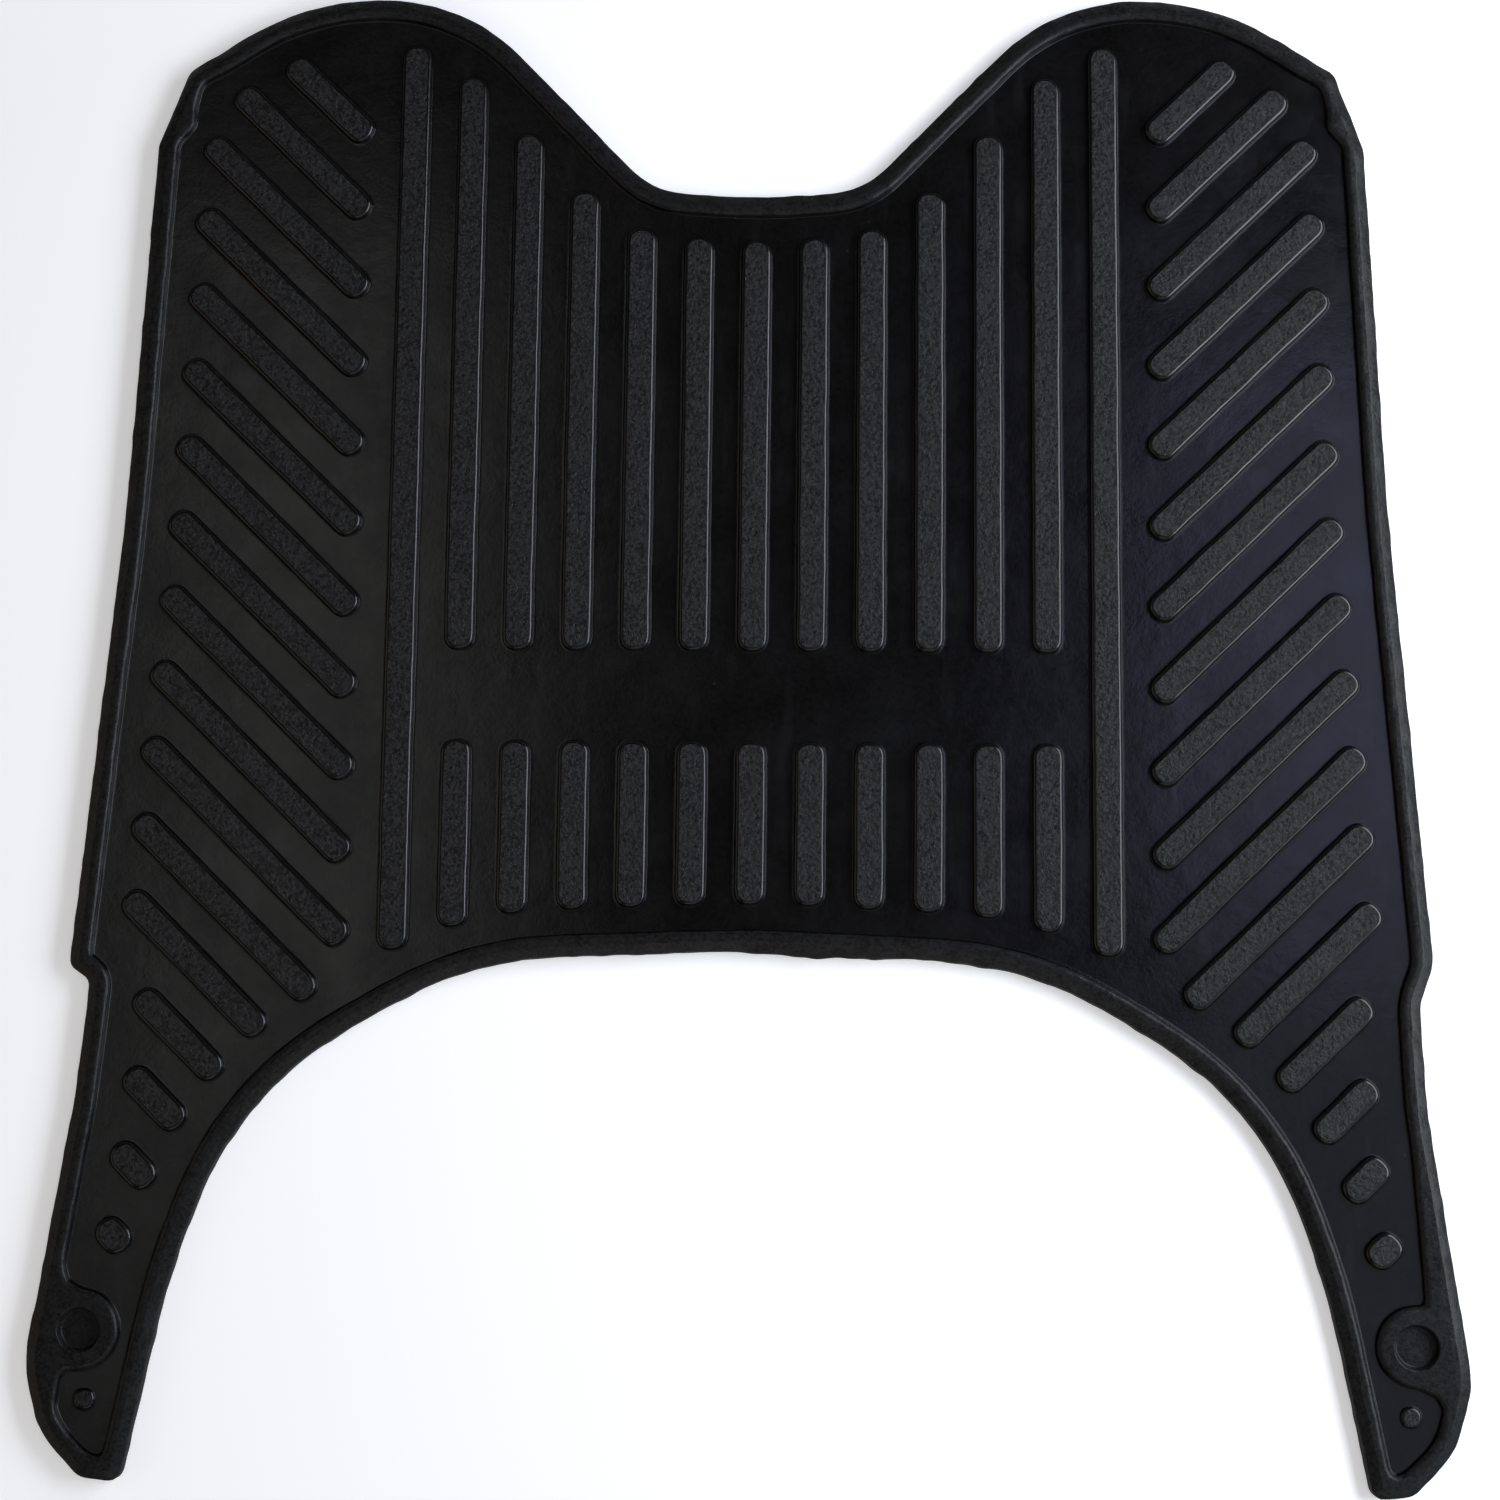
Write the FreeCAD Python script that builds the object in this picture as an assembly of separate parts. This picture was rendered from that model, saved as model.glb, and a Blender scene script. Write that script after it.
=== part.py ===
"""Scooter floor mat: one moulded sheet of rubber with a raised rim, ribs and pads.

Millimetres. +Y points to the front of the scooter, +X to its right as seen from above
with the front at the top, and +Z up. The underside lies on z = 0, and the middle of the
mat's box is over the origin.
"""

import FreeCAD
import Part
import math
import os

from FreeCAD import Vector

# Thickness of the panel, and how far each feature stands above it
panel_thickness = 3.0
rim_rise = 2.0
pad_rise = 1.8
dot_rise = 1.0

# Raised rim that follows the edge all round, with a slope down to the edge
rim_width = 5.0
rim_slope_width = 2.6
rim_slope_drop = 1.2

# Front notch, from its middle to the ear beside it
notch_floor_y = 137.4
notch_floor_rise = 2.0
notch_floor_radius = 150.0
notch_corner_x = 27.5
notch_corner_radius = 22.0
ear_inner_x = 77.2
ear_inner_rise = 51.6
ear_inner_radius = 50.0
ear_crown_length = 41.1
ear_crown_rise = 2.2
ear_outer_radius = 64.0

# Long side: each corner lies so far out from the one before it, and so far down
front_corner_out = 33.0
front_corner_drop = 21.1
front_corner_radius = 5.5
shoulder_out = 7.5
shoulder_drop = 20.6
shoulder_radius = 6.0
waist_out = 4.2
waist_drop = 98.0
waist_radius = 420.0

# Step where the mat narrows: soft on the right side, trimmed square on the left side
right_step_out = 8.9
right_step_drop = 115.8
right_step_inset = 3.7
right_step_length = 9.2
right_step_radius = 12.0
left_step_out = 9.3
left_step_drop = 119.2
left_step_inset = 5.5
left_step_length = 3.3

# Tail, from below the step round its tip
tail_waist_out = 6.3
tail_waist_drop = 151.5
tail_waist_radius = 140.0
tail_bulge_out = 9.7
tail_bulge_drop = 66.4
tail_bulge_radius = 24.0
tail_heel_inset = 4.7
tail_heel_drop = 16.6
tail_heel_radius = 20.0
tip_outer_inset = 10.4
tip_outer_drop = 10.6
tip_outer_radius = 6.0
tip_width = 9.8
tip_inner_drop = 0.9
sharp_corner_extra = 0.6

# Rear arch, from the tail's tip up to its crown
arch_leg_inset = 9.5
arch_leg_rise = 48.5
arch_leg_radius = 150.0
arch_haunch_x = 128.6
arch_haunch_drop = 34.1
arch_haunch_radius = 82.0
arch_shoulder_x = 70.8
arch_shoulder_drop = 3.0
arch_shoulder_radius = 89.0
arch_crown_y = -59.9
arch_crown_radius = 300.0

# Ribs and pads: all one width, with rounded ends that keep clear of the edge
pad_width = 8.0
pad_end_flatness = 0.3
edge_margin = 15.6
rib_pitch = 15.1
ribs_each_side = 5
band_front_y = 16.5
band_rear_y = -6.5

# Slanted pads on the two wings, counted from the front
wing_pad_count = 17
wing_pad_pitch = 21.25
wing_pad_angle = 44.2
first_wing_pad_y = 156.6

# Ring boss in each tail, its blind recess and the small dot behind it
ring_from_bulge_x = 13.6
ring_from_bulge_y = 8.6
ring_width = 4.1
recess_radius = 5.5
recess_depth = 2.6
neck_corner_radius = 2.6
tail_dot_radius = 2.7
tail_dot_inset = 1.8
tail_dot_drop = 16.9

# Places and sizes that follow from the values above
rim_height = panel_thickness + rim_rise
notch_corner_y = notch_floor_y + notch_floor_rise
ear_inner_y = notch_corner_y + ear_inner_rise
ear_outer_x = ear_inner_x + ear_crown_length
ear_outer_y = ear_inner_y + ear_crown_rise
front_corner_x = ear_outer_x + front_corner_out
front_corner_y = ear_outer_y - front_corner_drop
shoulder_x = front_corner_x + shoulder_out
shoulder_y = front_corner_y - shoulder_drop
waist_x = shoulder_x + waist_out
waist_y = shoulder_y - waist_drop
tail_waist_x = waist_x + tail_waist_out
tail_waist_y = waist_y - tail_waist_drop
tail_bulge_x = tail_waist_x + tail_bulge_out
tail_bulge_y = tail_waist_y - tail_bulge_drop
tail_heel_x = tail_bulge_x - tail_heel_inset
tail_heel_y = tail_bulge_y - tail_heel_drop
tip_outer_x = tail_heel_x - tip_outer_inset
tip_outer_y = tail_heel_y - tip_outer_drop
tip_inner_x = tip_outer_x - tip_width
tip_inner_y = tip_outer_y - tip_inner_drop
arch_leg_x = tip_inner_x - arch_leg_inset
arch_leg_y = tip_inner_y + arch_leg_rise
arch_shoulder_y = arch_crown_y - arch_shoulder_drop
arch_haunch_y = arch_shoulder_y - arch_haunch_drop
sharp_corner_radius = rim_slope_width + sharp_corner_extra
pad_radius = pad_width / 2
pad_end_radius = pad_radius + pad_end_flatness
long_rib_x = (ribs_each_side + 1) * rib_pitch
wing_column_x = long_rib_x + rib_pitch
ring_x = tail_bulge_x - ring_from_bulge_x
ring_y = tail_bulge_y + ring_from_bulge_y
ring_radius = recess_radius + ring_width
far_out = 2 * (tail_bulge_x + ear_outer_y)
run_share = 0.98
tiny = 0.001


def half_outline(step_out, step_drop, step_inset, step_length, step_radius):
    """Corners of one half as (x, y, radius), from the notch's middle to the arch's crown."""
    step_x = waist_x + step_out
    step_y = waist_y - step_drop
    return [
        (0, notch_floor_y, notch_floor_radius),
        (notch_corner_x, notch_corner_y, notch_corner_radius),
        (ear_inner_x, ear_inner_y, ear_inner_radius),
        (ear_outer_x, ear_outer_y, ear_outer_radius),
        (front_corner_x, front_corner_y, front_corner_radius),
        (shoulder_x, shoulder_y, shoulder_radius),
        (waist_x, waist_y, waist_radius),
        (step_x, step_y, step_radius),
        (step_x - step_inset, step_y - step_length, step_radius),
        (tail_waist_x, tail_waist_y, tail_waist_radius),
        (tail_bulge_x, tail_bulge_y, tail_bulge_radius),
        (tail_heel_x, tail_heel_y, tail_heel_radius),
        (tip_outer_x, tip_outer_y, tip_outer_radius),
        (tip_inner_x, tip_inner_y, sharp_corner_radius),
        (arch_leg_x, arch_leg_y, arch_leg_radius),
        (arch_haunch_x, arch_haunch_y, arch_haunch_radius),
        (arch_shoulder_x, arch_shoulder_y, arch_shoulder_radius),
        (0, arch_crown_y, arch_crown_radius),
    ]


def whole_outline():
    """Corners all the way round: the right half, then the left half walked back."""
    right_step = (right_step_out, right_step_drop, right_step_inset, right_step_length, right_step_radius)
    left_step = (left_step_out, left_step_drop, left_step_inset, left_step_length, sharp_corner_radius)
    right = half_outline(*right_step)
    left = half_outline(*left_step)
    mirrored = [(-x, y, radius) for x, y, radius in left[1:-1]]
    return right + mirrored[::-1]


def rounded_wire(corners):
    """Closed wire of straight runs joined by tangent arcs, one arc at each corner."""
    points = [Vector(x, y, 0) for x, y, radius in corners]
    count = len(points)
    runs = [points[(i + 1) % count] - points[i] for i in range(count)]
    headings = [Vector(run).normalize() for run in runs]
    turns = [runs[i - 1].getAngle(runs[i]) for i in range(count)]
    tangents = [corners[i][2] * math.tan(turns[i] / 2) for i in range(count)]
    # Two arcs that would meet on a short run share it, so each gives way in proportion
    room = [run_share * runs[i].Length / (tangents[i] + tangents[(i + 1) % count]) for i in range(count)]
    arcs = []
    for i in range(count):
        tangent = tangents[i] * min(1, room[i - 1], room[i])
        radius = tangent / math.tan(turns[i] / 2)
        back = headings[i - 1] * -1
        ahead = headings[i]
        inward = (back + ahead).normalize()
        crown = points[i] + inward * (radius / math.cos(turns[i] / 2) - radius)
        arcs.append((points[i] + back * tangent, crown, points[i] + ahead * tangent))
    edges = []
    for i in range(count):
        edges.append(Part.makeLine(arcs[i - 1][2], arcs[i][0]))
        edges.append(Part.Arc(*arcs[i]).toShape())
    return Part.Wire(edges)


def pad_end(middle, outward, across):
    """Three points of the arc that ends a pad: one corner, the tip and the other corner."""
    centre = middle - outward * pad_end_flatness + Vector(0, 0, panel_thickness)
    corner = centre + outward * math.sqrt(pad_end_radius ** 2 - pad_radius ** 2)
    return corner + across * pad_radius, centre + outward * pad_end_radius, corner - across * pad_radius


def raised_pad(start, end):
    """Pad on the panel about the line from start to end, with slightly flattened round ends."""
    along = (end - start).normalize()
    across = Vector(-along.y, along.x, 0)
    first = pad_end(start, along * -1, across)
    last = pad_end(end, along, across)
    foot = Part.Wire([
        Part.Arc(*first).toShape(),
        Part.makeLine(first[2], last[2]),
        Part.Arc(*last).toShape(),
        Part.makeLine(last[0], first[0]),
    ])
    return Part.Face(foot).extrude(Vector(0, 0, pad_rise))


def raised_dot(centre, radius, rise):
    """Round dot on the panel."""
    return Part.makeCylinder(radius, rise, centre + Vector(0, 0, panel_thickness))


def clipped(start, end, field):
    """The stretches of a straight line that lie inside a flat field, as end points."""
    stretches = Part.makeLine(start, end).common(field).Edges
    return [(edge.Vertexes[0].Point, edge.Vertexes[-1].Point) for edge in stretches]


def centre_ribs(field):
    """Lengthwise ribs across the middle, broken by a bare band, and a long rib each side."""
    ribs = []
    for k in range(-ribs_each_side, ribs_each_side + 1):
        x = k * rib_pitch
        front_start = Vector(x, band_front_y + pad_radius, 0)
        rear_start = Vector(x, band_rear_y - pad_radius, 0)
        ribs += clipped(front_start, Vector(x, far_out, 0), field)
        ribs += clipped(rear_start, Vector(x, -far_out, 0), field)
    for x in (-long_rib_x, long_rib_x):
        ribs += clipped(Vector(x, far_out, 0), Vector(x, -far_out, 0), field)
    return [raised_pad(start, end) for start, end in ribs]


def wing_pads(outline, field, side):
    """Slanted pads on one wing. Where the tail is too narrow for a pad, it has a dot."""
    pads = []
    slope = math.tan(math.radians(wing_pad_angle))
    for k in range(wing_pad_count):
        y = first_wing_pad_y - k * wing_pad_pitch
        inner = Vector(side * wing_column_x, y, 0)
        outer = Vector(side * far_out, y + slope * (far_out - wing_column_x), 0)
        stretches = clipped(inner, outer, field)
        pads += [raised_pad(start, end) for start, end in stretches]
        if not stretches:
            for start, end in clipped(inner, outer, outline):
                pads.append(raised_dot((start + end) * 0.5, pad_radius, pad_rise))
    return pads


def ring_and_neck(side):
    """Flat shape of a ring boss, joined to the rim by a neck as wide as the ring."""
    centre = Vector(side * ring_x, ring_y, 0)
    disc = Part.Face(Part.Wire(Part.makeCircle(ring_radius, centre)))
    low_x = min(side * ring_x, side * tail_bulge_x)
    neck = Part.makePlane(ring_from_bulge_x, 2 * ring_radius, Vector(low_x, ring_y - ring_radius, 0))
    return disc.fuse(neck).removeSplitter()


def is_neck_corner(edge):
    """True for an upright edge of the panel's pocket where a ring's neck meets the rim."""
    foot = edge.Vertexes[0].Point
    top = edge.Vertexes[-1].Point
    upright = math.hypot(top.x - foot.x, top.y - foot.y) < tiny
    beside_neck = abs(abs(foot.y - ring_y) - ring_radius) < tiny
    return upright and beside_neck and abs(foot.x) > ring_x + tiny


def panel_pocket(outline):
    """Space above the panel inside the rim, with the ring bosses left standing."""
    floor = outline.makeOffset2D(-rim_width)
    for side in (-1, 1):
        floor = floor.cut(ring_and_neck(side))
    floor.translate(Vector(0, 0, panel_thickness))
    pocket = floor.extrude(Vector(0, 0, rim_height))
    corners = [edge for edge in pocket.Edges if is_neck_corner(edge)]
    return pocket.makeFillet(neck_corner_radius, corners)


def rimmed_sheet(outline):
    """Sheet with its rim: a full-height blank, sloped at its edge and pocketed inside."""
    blank = outline.extrude(Vector(0, 0, rim_height))
    top_edges = [edge for edge in blank.Edges if edge.BoundBox.ZMin > rim_height - tiny]
    sloped = blank.makeChamfer(rim_slope_drop, rim_slope_width, top_edges)
    return sloped.cut(panel_pocket(outline))


def floor_mat():
    """The whole moulding, centred on its own box."""
    outline = Part.Face(rounded_wire(whole_outline()))
    field = outline.makeOffset2D(-edge_margin)
    raised = centre_ribs(field)
    recesses = []
    for side in (-1, 1):
        raised += wing_pads(outline, field, side)
        dot = Vector(side * (ring_x - tail_dot_inset), ring_y - tail_dot_drop, 0)
        raised.append(raised_dot(dot, tail_dot_radius, dot_rise))
        recess_floor = Vector(side * ring_x, ring_y, rim_height - recess_depth)
        recesses.append(Part.makeCylinder(recess_radius, rim_height, recess_floor))
    mat = rimmed_sheet(outline).multiFuse(raised).cut(recesses).removeSplitter()
    box = mat.BoundBox
    mat.translate(Vector(-box.Center.x, -box.Center.y, -box.ZMin))
    return mat


os.makedirs("parts", exist_ok=True)
mat = floor_mat()
print("solids", len(mat.Solids), "valid", mat.isValid(), "volume mm3", round(mat.Volume, 1))
mat.exportStep("parts/floor_mat.step")
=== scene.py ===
import math

import bpy
import numpy as np
from mathutils import Matrix, Vector, noise
from mathutils.geometry import delaunay_2d_cdt


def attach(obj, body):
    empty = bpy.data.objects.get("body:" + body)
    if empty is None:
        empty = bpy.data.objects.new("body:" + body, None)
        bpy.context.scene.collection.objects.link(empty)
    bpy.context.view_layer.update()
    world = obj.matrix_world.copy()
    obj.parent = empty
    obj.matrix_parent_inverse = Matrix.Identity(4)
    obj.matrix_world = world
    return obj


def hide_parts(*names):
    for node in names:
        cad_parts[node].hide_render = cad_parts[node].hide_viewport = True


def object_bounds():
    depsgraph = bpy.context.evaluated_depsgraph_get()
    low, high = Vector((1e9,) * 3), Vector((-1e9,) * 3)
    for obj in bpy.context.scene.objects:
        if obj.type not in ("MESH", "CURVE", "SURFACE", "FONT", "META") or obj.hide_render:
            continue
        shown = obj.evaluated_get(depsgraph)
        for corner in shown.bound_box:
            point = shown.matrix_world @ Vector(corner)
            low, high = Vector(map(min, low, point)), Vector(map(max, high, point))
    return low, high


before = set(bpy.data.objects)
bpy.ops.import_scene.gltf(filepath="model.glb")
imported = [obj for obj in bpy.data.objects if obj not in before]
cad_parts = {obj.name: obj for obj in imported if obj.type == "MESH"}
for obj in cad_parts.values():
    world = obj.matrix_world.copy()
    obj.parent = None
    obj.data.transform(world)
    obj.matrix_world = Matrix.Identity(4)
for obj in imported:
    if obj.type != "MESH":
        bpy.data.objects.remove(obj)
cad_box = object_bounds()

# Rim
# The mat is one sheet of black rubber, pressed in a heated two-part mould. Its rim is the mould's
# edge: an upright outer edge with a trace of torn flash, a slope up from it, a land that falls off
# a little and a rounded wall down to the panel. Outlines are read from the solid it stands for.
mm = 0.001
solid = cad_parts["floor_mat"].data
same_level = 0.001
level_facing = 0.999
widest_easing = 4.0
shortest_chord = 0.4

panel_height = 3.0
rim_height = 5.0
edge_spacing = 1.0
edge_softness = 0.4
foot_inset = 0.6
foot_rounding = 0.3
edge_rounding = 0.5
edge_bands = 6
slope_foot = 3.8
slope_width = 2.6
slope_rounding = 0.8
land_fall = 0.06
land_start = 0.4
land_start_fall = 0.7
wall_spacing = 1.25
wall_softness = 1.0
bead_width = 1.25
bead_rounding = 1.6
bead_bands = 5
wall_steps = 5
wall_draft = 0.6
wall_rounding = 0.2
wall_foot = 1.1

flash_depth = 0.35
flash_length = 5.0
flash_width = 1.2
flash_layer = 9
crown_front = -50
crown_half_width = 80
# Middle, half length and depth of the longer flash in the rear arch's crown
crown_flash = ((18, 17, 0.9), (56, 8, 0.5))
# Place, reach and push of the bends in the inner wall at each ear
ear_corner = ((148, 168.6, 4.0, 1.4), (150.5, 157.5, 3.2, -1.6), (153.2, 151.2, 2.8, 0.6))

PANEL, TREAD, RIM, UNDERSIDE = range(4)
points = []
faces = []
finishes = []


def flat_loops(height, facing=1):
    """Edge loops, in millimetres, of the solid's flat faces at one height. Holes run clockwise."""
    place = [(round(v.co.x / mm, 3), round(v.co.y / mm, 3)) for v in solid.vertices]
    level = [abs(v.co.z / mm - height) < same_level for v in solid.vertices]
    open_edges = set()
    for face in solid.polygons:
        if face.normal.z * facing > level_facing and all(level[i] for i in face.vertices):
            corners = [place[i] for i in face.vertices]
            for a, b in zip(corners, corners[1:] + corners[:1]):
                if (b, a) in open_edges:
                    open_edges.remove((b, a))
                else:
                    open_edges.add((a, b))
    following = dict(open_edges)
    loops = []
    while following:
        start = min(following)
        loop = [start]
        here = following.pop(start)
        while here != start:
            loop.append(here)
            here = following.pop(here)
        loops.append(np.array(loop))
    return loops


def area(loop):
    """Area inside a loop, negative where it runs clockwise."""
    x, y = loop.T
    return 0.5 * np.sum(x * np.roll(y, -1) - np.roll(x, -1) * y)


def eased(loop, spacing, softness):
    """The loop as even points, with the chords of its curves eased back into curves."""
    gaps = np.hypot(*(loop - np.roll(loop, 1, 0)).T)
    loop = loop[gaps > shortest_chord]
    lengths = np.hypot(*(np.roll(loop, -1, 0) - loop).T)
    along = np.concatenate([[0], np.cumsum(lengths)])
    count = round(along[-1] / spacing)
    step = along[-1] / count
    stations = np.arange(count) * step
    chords = np.minimum(lengths, np.roll(lengths, 1))
    closed = np.vstack([loop, loop[:1]])
    even = np.column_stack([np.interp(stations, along, closed[:, k]) for k in (0, 1)])
    spread = np.interp(stations, along, np.append(chords, chords[0])) / 2
    spread = np.clip(spread, softness, widest_easing)
    total = np.zeros_like(even)
    weights = np.zeros(count)
    reach = math.ceil(3 * widest_easing / step)
    for k in range(-reach, reach + 1):
        weight = np.exp(-0.5 * (k * step / spread) ** 2)
        total += weight[:, None] * np.roll(even, -k, 0)
        weights += weight
    return total / weights[:, None]


def inward(loop):
    """Unit directions into a loop that runs anticlockwise."""
    ahead = np.roll(loop, -1, 0) - np.roll(loop, 1, 0)
    ahead /= np.hypot(*ahead.T)[:, None]
    return np.column_stack([-ahead[:, 1], ahead[:, 0]])


def section(*corners, steps=3):
    """A section line of (inset, height) points from its corners, each (inset, height, radius)."""
    line = []
    for k, (inset, height, radius) in enumerate(corners):
        here = Vector((inset, height))
        if radius == 0:
            line.append(here)
            continue
        back = (Vector(corners[k - 1][:2]) - here).normalized()
        ahead = (Vector(corners[k + 1][:2]) - here).normalized()
        half = back.angle(ahead) / 2
        centre = here + (back + ahead).normalized() * (radius / math.sin(half))
        first = here + back * (radius / math.tan(half)) - centre
        last = here + ahead * (radius / math.tan(half)) - centre
        for s in range(steps + 1):
            line.append(centre + first.lerp(last, s / steps).normalized() * radius)
    return line


def add_ring(flat, height):
    """Adds a ring of points at one height and gives their numbers."""
    first = len(points)
    points.extend((x, y, height) for x, y in flat)
    return list(range(first, len(points)))


def add_face(corners, finish):
    """Adds one face with its finish."""
    faces.append(tuple(corners))
    finishes.append(finish)


def band(outer, inner, finish):
    """Four-sided faces from one ring to the ring inside it or above it."""
    for a, b, c, d in zip(outer, outer[1:] + outer[:1], inner[1:] + inner[:1], inner):
        add_face((a, b, c, d), finish)


def sweep(loop, line, first_finish, last_finish, turn, flash=0):
    """Carries a section line round a loop, with any flash. Gives the first and the last ring.

    The bands before the turn have the first finish, and the others the last.
    """
    directions = inward(loop)
    rings = []
    for inset, height in line:
        insets = inset - flash * max(0, 1 - inset / flash_width) * np.ones(len(loop))
        rings.append(add_ring(loop + directions * insets[:, None], height))
    for k, (outer, inner) in enumerate(zip(rings, rings[1:])):
        band(outer, inner, first_finish if k < turn else last_finish)
    return rings[0], rings[-1]


def within(spots, loop):
    """Which of the spots lie inside a loop."""
    crossings = np.zeros(len(spots), int)
    x, y = spots.T
    for (ax, ay), (bx, by) in zip(loop, np.roll(loop, -1, 0)):
        if ay != by:
            spans = (ay > y) != (by > y)
            crossings += spans & (x < ax + (y - ay) * (bx - ax) / (by - ay))
    return crossings % 2 == 1


def flat_of(ring):
    """The x and y of a ring's points."""
    return np.array([points[i][:2] for i in ring])


def fill(outer, holes, finish, loose=(), facing=1):
    """Triangles from an outer ring to the rings of its holes, through any loose points between."""
    rings = [outer, *holes]
    numbers = [i for ring in rings for i in ring] + list(loose)
    edges = []
    first = 0
    for ring in rings:
        edges += [(first + k, first + (k + 1) % len(ring)) for k in range(len(ring))]
        first += len(ring)
    spots = [Vector(points[i][:2]) for i in numbers]
    found = delaunay_2d_cdt(spots, edges, [], 1, 1e-7)
    corner_of = [numbers[source[0]] for source in found[3]]
    triangles = [[corner_of[k] for k in triangle] for triangle in found[2]]
    middles = np.array([np.mean([points[i][:2] for i in t], 0) for t in triangles])
    hollow = np.zeros(len(triangles), bool)
    for hole in holes:
        rim = flat_of(hole)
        near = np.all((middles > rim.min(0)) & (middles < rim.max(0)), 1)
        hollow[near] |= within(middles[near], rim)
    for triangle, skipped in zip(triangles, hollow):
        if not skipped:
            add_face(triangle[::facing], finish)


def torn_flash(loop):
    """How far the thin flash, torn off after moulding, still stands out round the outline."""
    ragged = np.array([noise.noise(Vector((x, y, flash_layer)) / flash_length) for x, y in loop])
    depth = flash_depth * np.clip(ragged, 0, 1)
    crown = (loop[:, 1] < crown_front) & (np.abs(loop[:, 0]) < crown_half_width)
    for middle, half_length, standing in crown_flash:
        bulge = np.exp(-((loop[:, 0] - middle) / half_length) ** 4)
        depth += crown * bulge * standing * (0.8 + 0.6 * ragged)
    return depth


def with_ear_corners(loop):
    """The inner wall's loop with the angular corner and the step that it has in each ear."""
    outward = -inward(loop)
    for x, y, reach, push in ear_corner:
        for side in (-1, 1):
            gaps = np.hypot(loop[:, 0] - side * x, loop[:, 1] - y)
            loop = loop + outward * (push * np.exp(-(gaps / reach) ** 2))[:, None]
    return loop


outline = eased(flat_loops(0, facing=-1)[0][::-1], edge_spacing, edge_softness)
rim_section = section(
    (foot_inset, 0, 0),
    (0, 0, foot_rounding),
    (0, slope_foot, edge_rounding),
    (slope_width, rim_height - land_fall, slope_rounding),
    (slope_width + land_start, rim_height - land_start_fall * land_fall, 0),
)
foot_ring, land_ring = sweep(outline, rim_section, UNDERSIDE, RIM, edge_bands, torn_flash(outline))

panel_loops = flat_loops(panel_height)
pocket_loops = [loop for loop in panel_loops if area(loop) > 0]
pockets = [with_ear_corners(eased(loop, wall_spacing, wall_softness)) for loop in pocket_loops]
wall_section = section(
    (-bead_width, rim_height, 0),
    (0, rim_height, bead_rounding),
    (wall_draft, panel_height, wall_rounding),
    (wall_foot, panel_height, 0),
    steps=wall_steps,
)
wall_rings = [sweep(pocket, wall_section, RIM, PANEL, bead_bands) for pocket in pockets]


def node_group(name, inputs, outputs):
    """An empty shader node group with number sockets. Gives the group and its two end nodes."""
    group = bpy.data.node_groups.new(name, "ShaderNodeTree")
    for socket, value in inputs.items():
        entry = group.interface.new_socket(socket, in_out="INPUT", socket_type="NodeSocketFloat")
        entry.default_value = value
    for socket in outputs:
        group.interface.new_socket(socket, in_out="OUTPUT", socket_type="NodeSocketFloat")
    return group, group.nodes.new("NodeGroupInput"), group.nodes.new("NodeGroupOutput")


def add_node(tree, kind, inputs=None, **settings):
    """Adds a node with its settings and the values of its inputs."""
    node = tree.nodes.new(kind)
    for name, value in settings.items():
        setattr(node, name, value)
    for name, value in (inputs or {}).items():
        node.inputs[name].default_value = value
    return node


def join(tree, *wires):
    """Joins nodes, each wire being a node, its output, the next node and its input."""
    for source, output, target, socket in wires:
        tree.links.new(source.outputs[output], target.inputs[socket])


# Grain etched into the mould, rounded grits with pits between them, and the rubber's slow swell
grain, grain_in, grain_out = node_group("mould_grain", {"Scale": 850.0}, ["Height", "Grits", "Swell"])
where = add_node(grain, "ShaderNodeTexCoord")
speckle = add_node(grain, "ShaderNodeTexNoise", {"Detail": 3.0, "Roughness": 0.7})
height = add_node(grain, "ShaderNodeMapRange", {"From Min": 0.36, "From Max": 0.6})
finer = add_node(grain, "ShaderNodeMath", {1: 1.5}, operation="MULTIPLY")
cells = add_node(grain, "ShaderNodeTexVoronoi")
chance = add_node(grain, "ShaderNodeSeparateColor")
grits = add_node(grain, "ShaderNodeMapRange", {"From Min": 0.05, "From Max": 0.7})
swell = add_node(grain, "ShaderNodeTexNoise", {"Scale": 170.0, "Detail": 1.0})
join(
    grain,
    (where, "Object", speckle, "Vector"),
    (where, "Object", cells, "Vector"),
    (where, "Object", swell, "Vector"),
    (grain_in, "Scale", speckle, "Scale"),
    (grain_in, "Scale", finer, 0),
    (finer, "Value", cells, "Scale"),
    (speckle, "Fac", height, "Value"),
    (cells, "Color", chance, "Color"),
    (chance, "Red", grits, "Value"),
    (height, "Result", grain_out, "Height"),
    (grits, "Result", grain_out, "Grits"),
    (swell, "Fac", grain_out, "Swell"),
)

# Bloom and handling marks: cloudy patches, and a thin pale film of lengthwise smears and dust
bloom, bloom_in, bloom_out = node_group("rubber_bloom", {"Scale": 45.0}, ["Cloud", "Film"])
where = add_node(bloom, "ShaderNodeTexCoord")
cloud = add_node(bloom, "ShaderNodeTexNoise", {"Detail": 6.0, "Roughness": 0.68})
stretch = add_node(bloom, "ShaderNodeVectorMath", operation="MULTIPLY")
stretch.inputs[1].default_value = (170, 38, 60)
streak = add_node(bloom, "ShaderNodeTexNoise", {"Scale": 1.0, "Detail": 4.0, "Roughness": 0.6})
smear = add_node(bloom, "ShaderNodeMapRange", {"From Min": 0.56, "From Max": 0.82, "To Max": 0.5})
motes = add_node(bloom, "ShaderNodeTexVoronoi", {"Scale": 75.0})
dust = add_node(bloom, "ShaderNodeMapRange", {"From Min": 0.035, "From Max": 0.02})
film = add_node(bloom, "ShaderNodeMath", operation="MAXIMUM")
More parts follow.
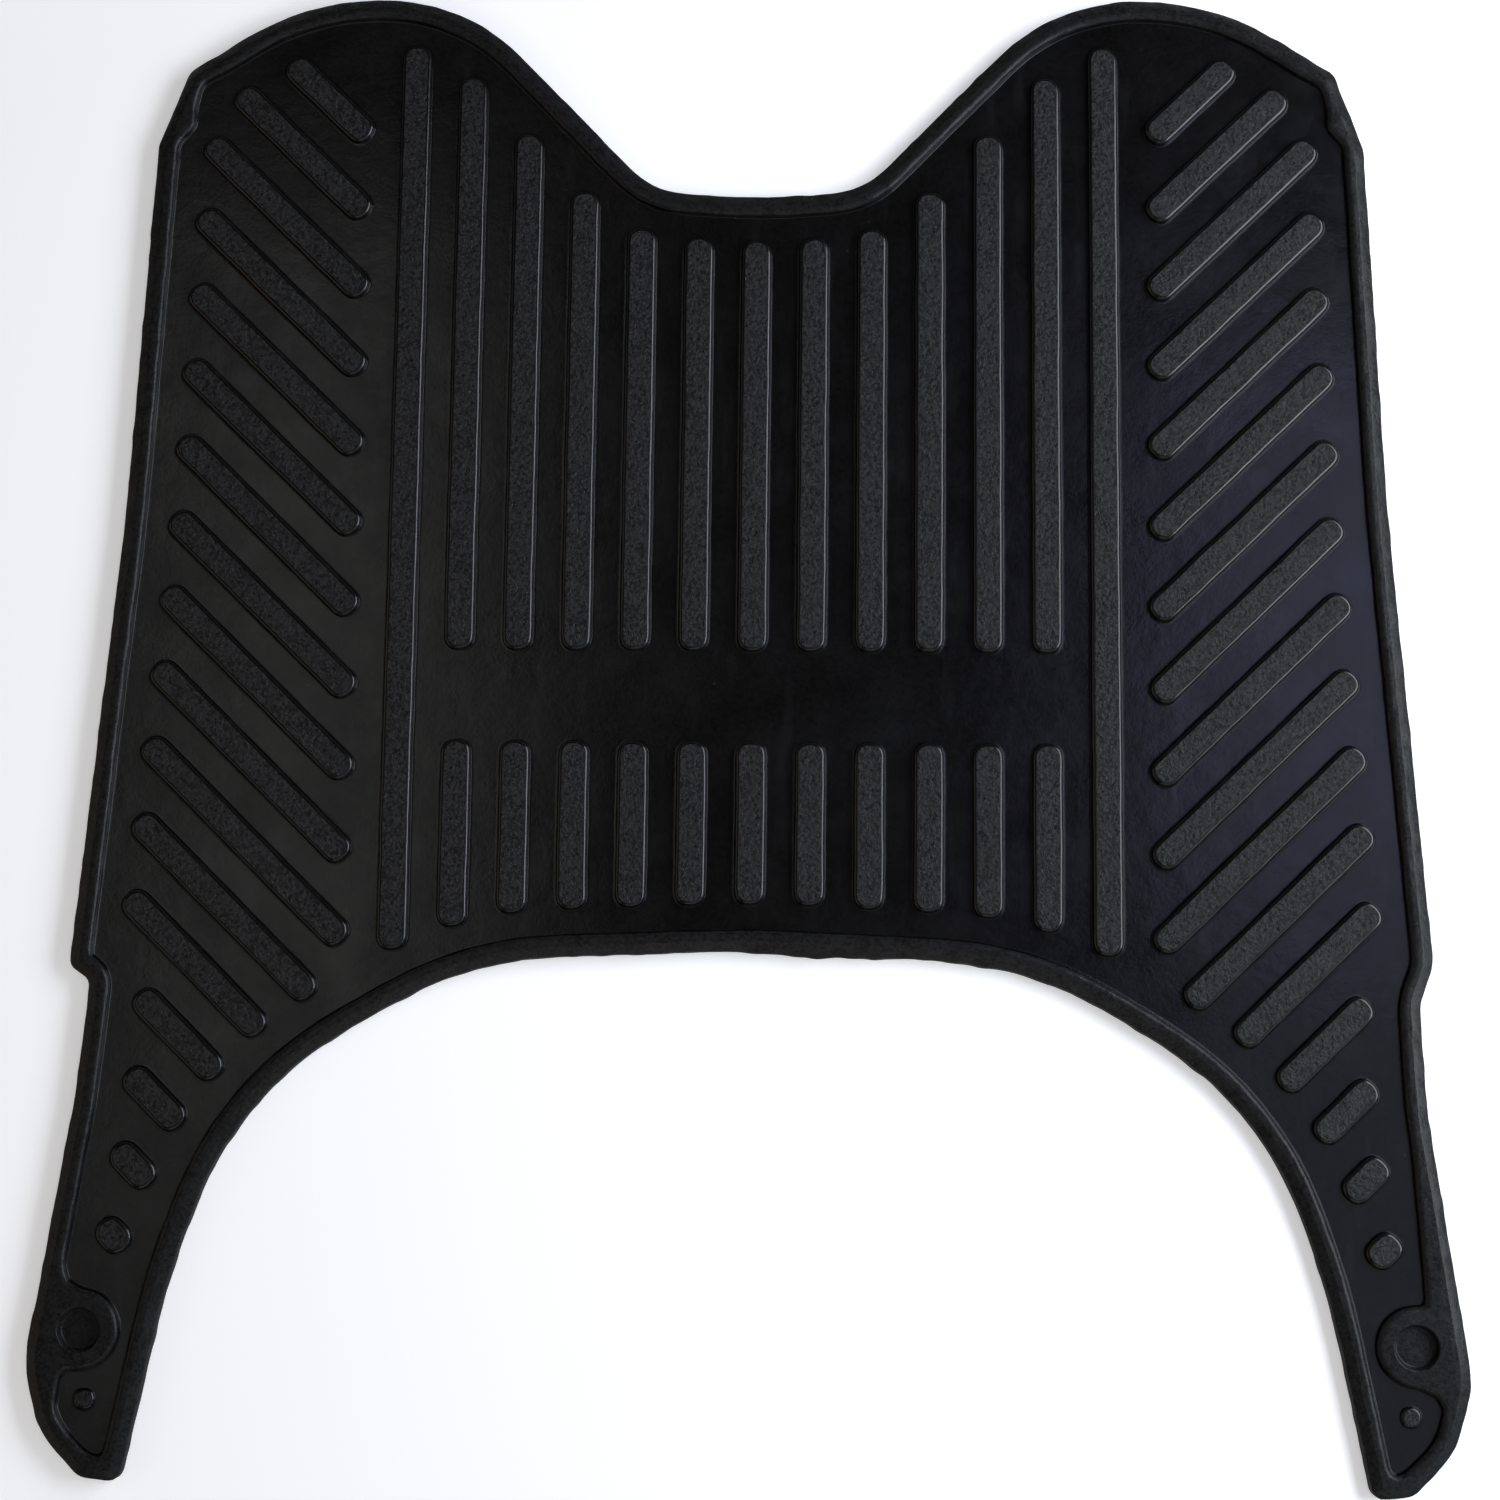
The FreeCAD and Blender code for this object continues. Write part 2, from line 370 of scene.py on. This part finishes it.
join(
    bloom,
    (where, "Object", cloud, "Vector"),
    (bloom_in, "Scale", cloud, "Scale"),
    (where, "Object", stretch, 0),
    (stretch, "Vector", streak, "Vector"),
    (streak, "Fac", smear, "Value"),
    (where, "Object", motes, "Vector"),
    (motes, "Distance", dust, "Value"),
    (smear, "Result", film, 0),
    (dust, "Result", film, 1),
    (cloud, "Fac", bloom_out, "Cloud"),
    (film, "Value", bloom_out, "Film"),
)


film_shade = (0.014, 0.014, 0.015)


def rubber(name, dark, pale, gloss, dull, shine, grain_scale, grain_depth, wave_depth):
    """A finish of the rubber, between two shades and two roughnesses, with its grain and waves."""
    material = bpy.data.materials.new(name)
    material.use_nodes = True
    tree = material.node_tree
    shader = tree.nodes["Principled BSDF"]
    shader.inputs["Specular IOR Level"].default_value = shine
    marks = add_node(tree, "ShaderNodeGroup", node_tree=bloom)
    grit = add_node(tree, "ShaderNodeGroup", {"Scale": grain_scale}, node_tree=grain)
    shade = add_node(tree, "ShaderNodeMix", data_type="RGBA")
    shade.inputs["A"].default_value = (*dark, 1)
    shade.inputs["B"].default_value = (*pale, 1)
    film = add_node(tree, "ShaderNodeMix", data_type="RGBA")
    film.inputs["B"].default_value = (*film_shade, 1)
    rough = add_node(tree, "ShaderNodeMapRange", {"From Min": 0.3, "From Max": 0.7})
    rough.inputs["To Min"].default_value = gloss
    rough.inputs["To Max"].default_value = dull
    wave = add_node(tree, "ShaderNodeBump", {"Strength": 1.0, "Distance": wave_depth * mm})
    bump = add_node(tree, "ShaderNodeBump", {"Strength": 1.0, "Distance": grain_depth * mm})
    join(
        tree,
        (marks, "Cloud", rough, "Value"),
        (rough, "Result", shader, "Roughness"),
        (grit, "Grits", shade, "Factor"),
        (shade, "Result", film, "A"),
        (marks, "Film", film, "Factor"),
        (film, "Result", shader, "Base Color"),
        (grit, "Swell", wave, "Height"),
        (wave, "Normal", bump, "Normal"),
        (grit, "Height", bump, "Height"),
        (bump, "Normal", shader, "Normal"),
    )
    return material


rim_rubber = rubber(
    "rim_rubber",
    dark=(0.006, 0.006, 0.006),
    pale=(0.014, 0.014, 0.014),
    gloss=0.22,
    dull=0.36,
    shine=0.15,
    grain_scale=1000,
    grain_depth=0.03,
    wave_depth=0.4,
)

# Tail rings
# Each tail has a round boss that is part of the rim, with a blind recess pressed into it for the
# head of a fixing. The recess has a rounded lip and a flat floor.
recess_floor = 2.4
recess_spacing = 0.9
recess_softness = 0.4
lip_width = 0.5
lip_rounding = 0.4
recess_draft = 0.5
recess_rounding = 0.5
recess_foot = 1.3
recess_section = section(
    (-lip_width, rim_height, 0),
    (0, rim_height, lip_rounding),
    (recess_draft, recess_floor, recess_rounding),
    (recess_foot, recess_floor, 0),
)
recess_rings = []
for loop in flat_loops(recess_floor):
    lip, floor_edge = sweep(eased(loop, recess_spacing, recess_softness), recess_section, RIM, RIM, 0)
    add_face(floor_edge, RIM)
    recess_rings.append(lip)

fill(land_ring, [wall[0] for wall in wall_rings] + recess_rings, RIM)

# Ribs and pads
# The tread: lengthwise ribs in the middle, slanted pads on the wings and dots in the tails. They
# are pressed with the sheet. Their sides are smooth and slightly drafted, and their tops carry
# the fine grain that was etched into the mould.
pad_height = 4.8
tail_dot_height = 4.0
tail_dot_width = 6.0
pad_spacing = 2.5
end_steps = 10
end_fullness = 2.3
top_inset = 2.6
narrowest_top = 1
side_bands = 7
pad_skirt = 0.6
skirt_rounding = 0.1
pad_draft = 0.3
pad_rounding = 0.95
rounded_share = 0.75
shortest_straight = 0.1
axis_spacing = 0.4
axis_softness = 0.05


def long_axis(loop):
    """Middle, long direction, half length and half width of a pad's foot."""
    even = eased(loop, axis_spacing, axis_softness)
    middle = (even.min(0) + even.max(0)) / 2
    spread = even - even.mean(0)
    along = np.linalg.eigh(spread.T @ spread)[1][:, 1]
    across = np.array([-along[1], along[0]])
    reach = (loop - middle) @ along
    side = (loop - middle) @ across
    middle = middle + along * (reach.max() + reach.min()) / 2 + across * (side.max() + side.min()) / 2
    return middle, along, np.ptp(reach) / 2, np.ptp(side) / 2


def pad_spokes(straight):
    """Where each point of a pad's ring starts on its middle line, and which way it stands out."""
    count = max(1, round(2 * straight / pad_spacing)) + 1 if straight > shortest_straight else 1
    stations = np.linspace(-straight, straight, count) if count > 1 else np.zeros(1)
    spokes = [(s, 0, -1) for s in stations]
    turns = [math.pi * k / (end_steps + 1) for k in range(1, end_steps + 1)]
    power = 2 / end_fullness
    end = [(math.sin(t) ** power, math.copysign(abs(math.cos(t)) ** power, -math.cos(t))) for t in turns]
    spokes += [(straight, u, v) for u, v in end]
    spokes += [(s, 0, 1) for s in stations[::-1]]
    spokes += [(-straight, -u, -v) for u, v in end]
    return np.array(spokes), count


def press_pad(loop):
    """Adds one pad on its foot and gives the ring where it meets the panel."""
    middle, along, half_length, half_width = long_axis(loop)
    across = np.array([-along[1], along[0]])
    top = tail_dot_height if 2 * half_width < tail_dot_width else pad_height
    spokes, count = pad_spokes(half_length - half_width)
    rounding = min(pad_rounding, rounded_share * (top - panel_height))
    line = section(
        (-pad_skirt, panel_height, 0),
        (0, panel_height, skirt_rounding),
        (pad_draft, top, rounding),
        (pad_draft + rounding, top, 0),
    )
    if half_width > top_inset + narrowest_top:
        line.append(Vector((top_inset, top)))
    rings = []
    for inset, height in line:
        out = half_width - inset
        lengthwise = np.outer(spokes[:, 0] + out * spokes[:, 1], along)
        sideways = np.outer(out * spokes[:, 2], across)
        rings.append(add_ring(middle + lengthwise + sideways, height))
    for k, (outer, inner) in enumerate(zip(rings, rings[1:])):
        band(outer, inner, TREAD if k > side_bands else PANEL)
    crown = rings[-1]
    turn = count + end_steps
    right = crown[:count]
    left = crown[turn:turn + count][::-1]
    for k in range(count - 1):
        add_face((right[k], right[k + 1], left[k + 1], left[k]), TREAD)
    add_face([right[-1], *crown[count:turn], left[-1]], TREAD)
    add_face([left[0], *crown[turn + count:], right[0]], TREAD)
    return rings[0]


pad_rings = [press_pad(loop[::-1]) for loop in panel_loops if area(loop) < 0]
tread_rubber = rubber(
    "tread_rubber",
    dark=(0.0042, 0.0042, 0.0042),
    pale=(0.0224, 0.0224, 0.0224),
    gloss=0.4,
    dull=0.48,
    shine=0.2,
    grain_scale=1000,
    grain_depth=0.14,
    wave_depth=0.15,
)

# Panel
# The floor of the mat between the rim and the pads: a smooth pressed face, half glossy, that
# ripples by a few hundredths of a millimetre as moulded rubber does. The band across the middle
# is bare panel.
grid_spacing = 3.0
grid_margin = 1.6
jitter_share = 0.3
jitter = np.random.default_rng(7)


def loose_spots(outer, holes):
    """Scattered points on the panel that keep clear of its rings."""
    edge = flat_of(outer)
    low, high = edge.min(0), edge.max(0)
    xs = np.arange(low[0], high[0], grid_spacing)
    ys = np.arange(low[1], high[1], grid_spacing)
    spots = np.array([(x, y) for x in xs for y in ys])
    spots += jitter.uniform(-jitter_share, jitter_share, spots.shape) * grid_spacing
    spots = spots[within(spots, edge)]
    for ring in [outer, *holes]:
        rim = flat_of(ring)
        near = np.all((spots > rim.min(0) - grid_margin) & (spots < rim.max(0) + grid_margin), 1)
        gaps = np.linalg.norm(spots[near][:, None] - rim[None], axis=2).min(1)
        near_index = np.flatnonzero(near)
        bad = near_index[gaps < grid_margin]
        if ring is not outer:
            bad = np.union1d(bad, near_index[within(spots[near], rim)])
        spots = np.delete(spots, bad, 0)
    return spots


for wall in wall_rings:
    edge = flat_of(wall[1])
    inside = [ring for ring in pad_rings if within(flat_of(ring[:1]), edge)[0]]
    loose = add_ring(loose_spots(wall[1], inside), panel_height)
    fill(wall[1], inside, PANEL, loose)
panel_rubber = rubber(
    "panel_rubber",
    dark=(0.0017, 0.0017, 0.0017),
    pale=(0.0035, 0.0034, 0.0033),
    gloss=0.13,
    dull=0.28,
    shine=0.36,
    grain_scale=900,
    grain_depth=0.008,
    wave_depth=0.06,
)

# Underside
# The face that lies on the footboard, and the upright edge all round, where the moulding was
# trimmed: flat, plain and dull.
fill(foot_ring, [], UNDERSIDE, facing=-1)
underside_rubber = rubber(
    "underside_rubber",
    dark=(0.005, 0.005, 0.005),
    pale=(0.011, 0.011, 0.011),
    gloss=0.7,
    dull=0.85,
    shine=0.15,
    grain_scale=600,
    grain_depth=0.04,
    wave_depth=0.4,
)

# Whole mat
# One mesh of all the faces above, with its four finishes. Like any pressed rubber it ripples by
# some hundredths of a millimetre, so the mesh does too. It stays inside the solid's box.
ripple_depth = 0.08
ripple_length = 22.0
ripple_floor = 2.3
wobble = 0.12
wobble_length = 14.0
wobble_layer = 40
unevenness = 0.12
uneven_length = 5.0
uneven_layer = 2
uneven_rise = 4
far_apart = Vector((31.7, 12.3, 5.9))


def drift(spot, size):
    """How far a spot of the moulding wanders sideways, in x and in y."""
    return size * noise.noise(spot), size * noise.noise(spot + far_apart)


def rippled(x, y, z):
    """A point of the moulding after the sheet's own unevenness."""
    if z > ripple_floor:
        z -= ripple_depth * (0.5 + 0.5 * noise.noise(Vector((x, y, 0)) / ripple_length))
    slow = drift(Vector((x, y, wobble_layer)) / wobble_length, wobble)
    quick = drift(Vector((x, y, uneven_rise * z + uneven_layer)) / uneven_length, unevenness)
    return x + slow[0] + quick[0], y + slow[1] + quick[1], z


low, high = np.array(cad_box[0]), np.array(cad_box[1])
places = np.clip(np.array([rippled(*p) for p in points]) * mm, low, high)
mesh = bpy.data.meshes.new("floor_mat_rubber")
mesh.from_pydata(places.tolist(), [], faces)
mesh.polygons.foreach_set("material_index", finishes)
mesh.polygons.foreach_set("use_smooth", [True] * len(faces))
for finish in (panel_rubber, tread_rubber, rim_rubber, underside_rubber):
    mesh.materials.append(finish)
mesh.validate()
mat = bpy.data.objects.new("floor_mat_rubber", mesh)
bpy.context.scene.collection.objects.link(mat)
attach(mat, "root")
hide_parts("floor_mat")

# Floor
# A plain pale studio floor, wide enough for every view. Far from the lamps it is lifted for the
# eye alone, so that it stays pale to the horizon and sheds no more light on the mat.
floor_mesh = bpy.data.meshes.new("studio_floor")
reach = 40
floor_corners = [(-reach, -reach, 0), (reach, -reach, 0), (reach, reach, 0), (-reach, reach, 0)]
floor_mesh.from_pydata(floor_corners, [], [(0, 1, 2, 3)])
floor = bpy.data.objects.new("studio_floor", floor_mesh)
bpy.context.scene.collection.objects.link(floor)
floor_paint = bpy.data.materials.new("pale_floor")
floor_paint.use_nodes = True
floor_tree = floor_paint.node_tree
floor_shader = floor_tree.nodes["Principled BSDF"]
floor_shader.inputs["Base Color"].default_value = (0.92, 0.92, 0.92, 1)
floor_shader.inputs["Roughness"].default_value = 0.95
floor_shader.inputs["Specular IOR Level"].default_value = 0.0
floor_shader.inputs["Emission Color"].default_value = (1, 1, 1, 1)
where = add_node(floor_tree, "ShaderNodeTexCoord")
distance = add_node(floor_tree, "ShaderNodeVectorMath", operation="LENGTH")
fade = add_node(floor_tree, "ShaderNodeMapRange", {"From Min": 0.25, "From Max": 1.6})
fade.inputs["To Min"].default_value = 0.38
fade.inputs["To Max"].default_value = 0.9
ray = add_node(floor_tree, "ShaderNodeLightPath")
seen = add_node(floor_tree, "ShaderNodeMath", operation="MAXIMUM")
seen_through = add_node(floor_tree, "ShaderNodeMath", operation="MAXIMUM")
lift = add_node(floor_tree, "ShaderNodeMath", operation="MULTIPLY")
join(
    floor_tree,
    (where, "Object", distance, 0),
    (distance, "Value", fade, "Value"),
    (ray, "Is Camera Ray", seen, 0),
    (ray, "Is Glossy Ray", seen, 1),
    (seen, "Value", seen_through, 0),
    (ray, "Is Transmission Ray", seen_through, 1),
    (seen_through, "Value", lift, 0),
    (fade, "Result", lift, 1),
    (lift, "Value", floor_shader, "Emission Strength"),
)
floor_mesh.materials.append(floor_paint)
floor.location.z = -0.0002

# Light
# Soft boxes round a dim room that is pale only along the horizon: a bright one low on the right with
# a window behind it, boxes overhead on both sides with a dark gap between them, a dim wall on the
# left, and soft light at the rear.
world = bpy.data.worlds.new("dim_room")
world.use_nodes = True
world_tree = world.node_tree
sky = world_tree.nodes["Background"]
sky.inputs["Color"].default_value = (1, 1, 1, 1)
towards = add_node(world_tree, "ShaderNodeTexCoord")
split = add_node(world_tree, "ShaderNodeSeparateXYZ")
haze = add_node(world_tree, "ShaderNodeMapRange", {"From Min": 0.04, "From Max": 0.16})
haze.inputs["To Min"].default_value = 0.95
haze.inputs["To Max"].default_value = 0.04
join(
    world_tree,
    (towards, "Generated", split, "Vector"),
    (split, "Z", haze, "Value"),
    (haze, "Result", sky, "Strength"),
)
bpy.context.scene.world = world


def soft_box(name, place, width, height, brightness, colour, aim=(0, 0, 0)):
    """A lamp with a wide face, turned to the mat. Its brightness is that of its face."""
    lamp = bpy.data.lights.new(name, "AREA")
    lamp.shape = "RECTANGLE"
    lamp.size = width
    lamp.size_y = height
    lamp.energy = brightness * math.pi * width * height
    lamp.color = colour
    box = bpy.data.objects.new(name, lamp)
    box.location = place
    box.rotation_euler = (Vector(aim) - Vector(place)).to_track_quat("-Z", "Y").to_euler()
    box.visible_camera = False
    bpy.context.scene.collection.objects.link(box)


# Each with its place, width, height, brightness and colour. Those overhead face straight down.
soft_box("right_window", (0.93, -0.45, 0.6), 1.0, 0.6, 1.2, (0.7, 0.85, 1.0))
soft_box("right_light", (0.47, 0.09, 0.33), 0.6, 0.28, 8.0, (0.86, 0.9, 1.0))
soft_box("right_box", (0.39, 0.245, 1.2), 0.22, 0.45, 2.0, (0.59, 0.62, 1.0), aim=(0.39, 0.245, 0))
soft_box("right_end", (0.43, -0.21, 1.2), 0.26, 0.44, 0.6, (0.7, 0.75, 1.0), aim=(0.43, -0.21, 0))
soft_box("left_box", (-0.352, 0.23, 1.2), 0.26, 0.66, 0.8, (1.0, 0.98, 0.95), aim=(-0.352, 0.23, 0))
soft_box("left_end", (-0.46, -0.25, 1.2), 0.28, 0.3, 0.46, (1.0, 0.98, 0.95), aim=(-0.46, -0.25, 0))
soft_box("left_wall", (-1.1, -0.25, 0.5), 1.4, 0.5, 0.7, (1.0, 0.82, 0.64))
soft_box("rear_light", (0.1, -1.2, 0.9), 1.2, 0.6, 1.2, (1.0, 0.95, 0.92))
soft_box("rear_box", (0.15, -0.45, 1.2), 0.6, 0.5, 0.5, (1.0, 0.95, 0.9), aim=(0.15, -0.45, 0))

# Camera
# Straight above the mat's rear half, leaning a little to the front, as the photograph was taken.
# Its height, lean and lens were worked out from the outline and the rows of ribs.
eye = (0.015, -0.1002, 0.66045)
pitch, lean, roll = 0.1382056, 0.0232286, 0.0115681
focal_pixels = 2600
frame_pixels = 1500
camera_data = bpy.data.cameras.new("camera")
camera_data.sensor_width = 36
camera_data.lens = focal_pixels / frame_pixels * camera_data.sensor_width
camera = bpy.data.objects.new("camera", camera_data)
turn = Matrix.Rotation(lean, 4, "Y") @ Matrix.Rotation(pitch, 4, "X") @ Matrix.Rotation(roll, 4, "Z")
camera.matrix_world = Matrix.Translation(eye) @ turn
bpy.context.scene.collection.objects.link(camera)
bpy.context.scene.camera = camera
bpy.context.scene.view_settings.view_transform = "Standard"
